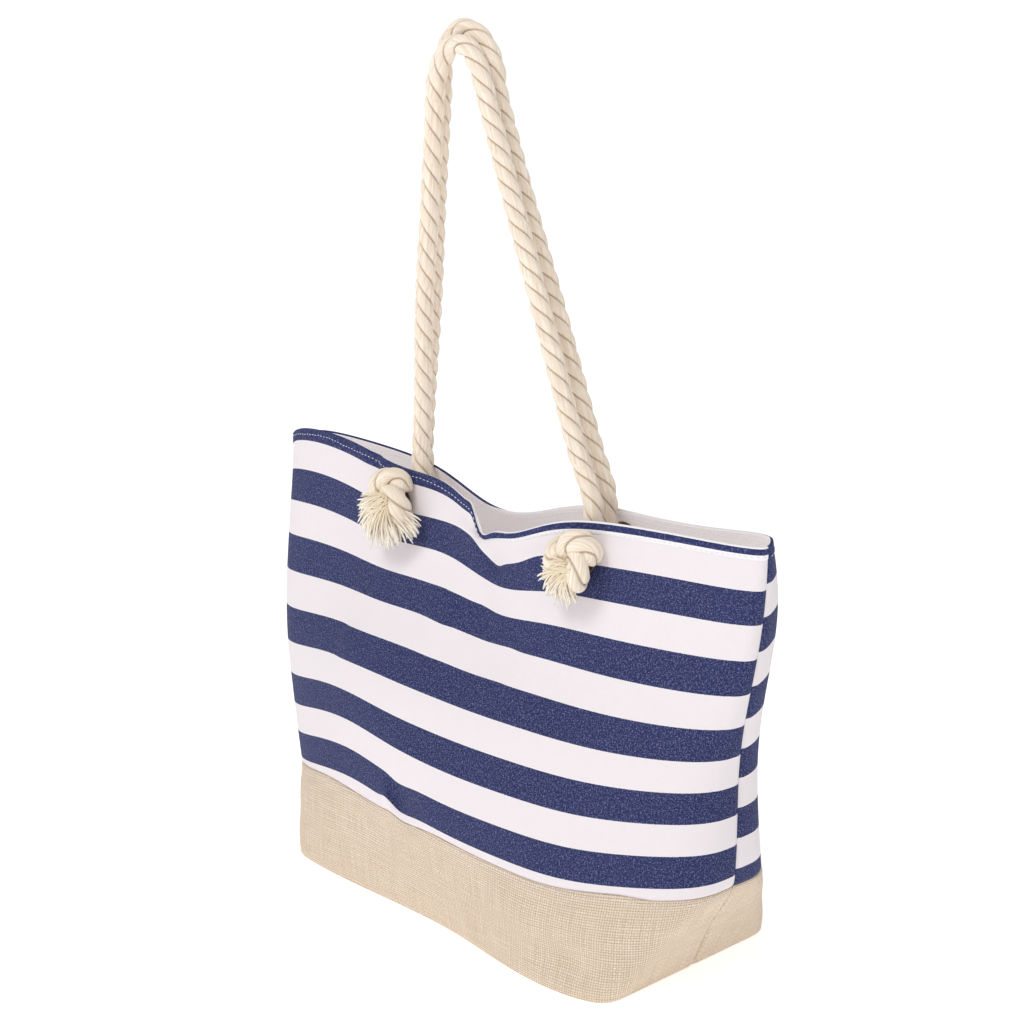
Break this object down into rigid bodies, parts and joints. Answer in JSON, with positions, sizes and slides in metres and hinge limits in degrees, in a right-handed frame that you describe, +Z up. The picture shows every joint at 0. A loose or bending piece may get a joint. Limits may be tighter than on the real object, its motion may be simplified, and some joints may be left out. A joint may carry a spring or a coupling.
{
  "type": "beach bag",
  "caption": "Striped canvas beach tote with a woven base, open top and two knotted twisted-rope shoulder handles that fold down outside.",
  "frame": {"origin": "on the floor, under the middle of the bag's bounding box", "axes": "+Z up, the front faces -Y, +X to the bag's right end as seen from the front"},
  "size_m": [0.548, 0.1802, 0.6961],
  "materials": {
    "canvas": "matt",
    "hem": "matt",
    "weave": "matt",
    "lining": "matt",
    "rope": "matt",
    "eyelet": "satin"
  },
  "bodies": {
    "bag": {"front_panel": "canvas", "back_panel": "canvas", "front_hem": "hem", "back_hem": "hem", "front_lining": "lining", "back_lining": "lining", "lining_floor": "lining", "base_front": "weave", "base_back": "weave", "base_floor": "weave", "eyelet_front_left": "eyelet", "eyelet_front_right": "eyelet", "eyelet_back_left": "eyelet", "eyelet_back_right": "eyelet", "washer_front_left": "eyelet", "washer_front_right": "eyelet", "washer_back_left": "eyelet", "washer_back_right": "eyelet", "knot_front_left": "rope", "knot_front_right": "rope", "knot_back_left": "rope", "knot_back_right": "rope", "tassel_front_left": "rope", "tassel_front_right": "rope", "tassel_back_left": "rope", "tassel_back_right": "rope", "tail_front_left": "rope", "tail_front_right": "rope", "tail_back_left": "rope", "tail_back_right": "rope"},
    "front_neck": {"front_neck_left": "rope", "front_neck_right": "rope"},
    "front_handle": {"front_loop": "rope"},
    "back_neck": {"back_neck_left": "rope", "back_neck_right": "rope"},
    "back_handle": {"back_loop": "rope"}
  },
  "joints": [
    {"name": "front_neck_fold", "type": "hinge", "parent": "bag", "child": "front_neck", "pos_m": [0, -0.01807, 0.352], "axis": [1, 0, 0], "range_deg": [0, 80]},
    {"name": "front_handle_fold", "type": "hinge", "parent": "front_neck", "child": "front_handle", "pos_m": [0, -0.01707, 0.397], "axis": [1, 0, 0], "range_deg": [0, 80]},
    {"name": "back_neck_fold", "type": "hinge", "parent": "bag", "child": "back_neck", "pos_m": [0, 0.00555, 0.352], "axis": [-1, 0, 0], "range_deg": [0, 80]},
    {"name": "back_handle_fold", "type": "hinge", "parent": "back_neck", "child": "back_handle", "pos_m": [0, 0.00455, 0.397], "axis": [-1, 0, 0], "range_deg": [0, 80]}
  ],
  "couplings": [
    {"joint": "front_neck_fold", "follows": "front_handle_fold", "ratio": 1},
    {"joint": "back_neck_fold", "follows": "back_handle_fold", "ratio": 1}
  ]
}
